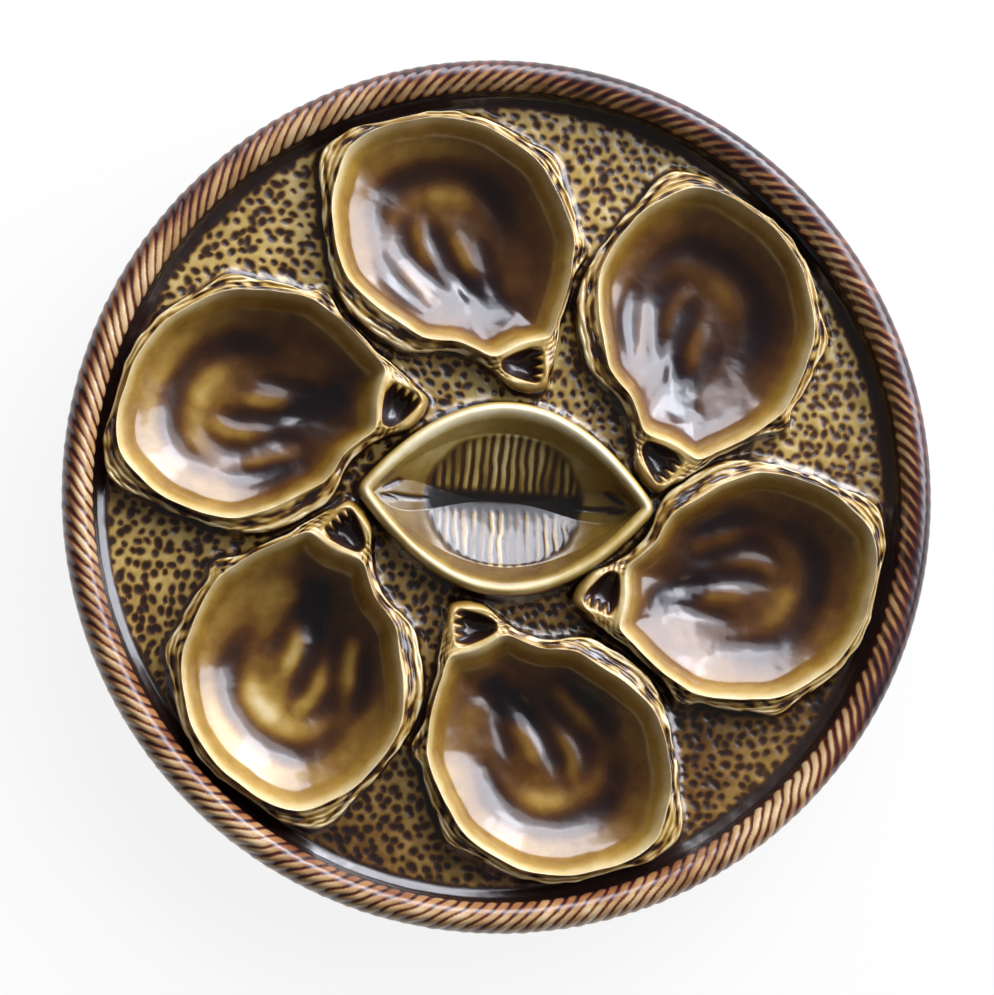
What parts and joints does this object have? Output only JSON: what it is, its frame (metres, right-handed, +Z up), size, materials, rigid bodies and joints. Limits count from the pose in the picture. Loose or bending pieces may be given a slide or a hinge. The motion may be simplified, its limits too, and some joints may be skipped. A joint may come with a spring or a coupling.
{
  "type": "oyster plate",
  "caption": "Round majolica oyster plate: shell-shaped cups around a pointed ribbed sauce well, on a pitted field inside a twisted rope rim.",
  "frame": {"origin": "centre of the plate, on the plane that the foot stands on", "axes": "+Z up out of the cups, +X to the right and +Y away from the viewer as pictured"},
  "size_m": [0.245, 0.245, 0.026],
  "materials": {
    "pitted_field_glaze": "glossy translucent brown glaze, ochre on the ridges and near black in the pits",
    "rope_glaze": "glossy translucent glaze, tan on the strands and purple-brown between them",
    "shell_glaze": "glossy translucent olive-brown glaze, cream on the crests and dark where it pools",
    "well_glaze": "glossy translucent ochre glaze, cream on the lip and dark brown between the ribs",
    "underside_glaze": "thin glossy ochre glaze, bare fired clay where the foot stands"
  },
  "bodies": {
    "root": {"ground_plate": "pitted_field_glaze", "rope_rim": "rope_glaze", "oyster_shell_1": "shell_glaze", "oyster_shell_2": "shell_glaze", "oyster_shell_3": "shell_glaze", "oyster_shell_4": "shell_glaze", "oyster_shell_5": "shell_glaze", "oyster_shell_6": "shell_glaze", "sauce_well": "well_glaze", "foot_ring": "underside_glaze"}
  },
  "joints": []
}
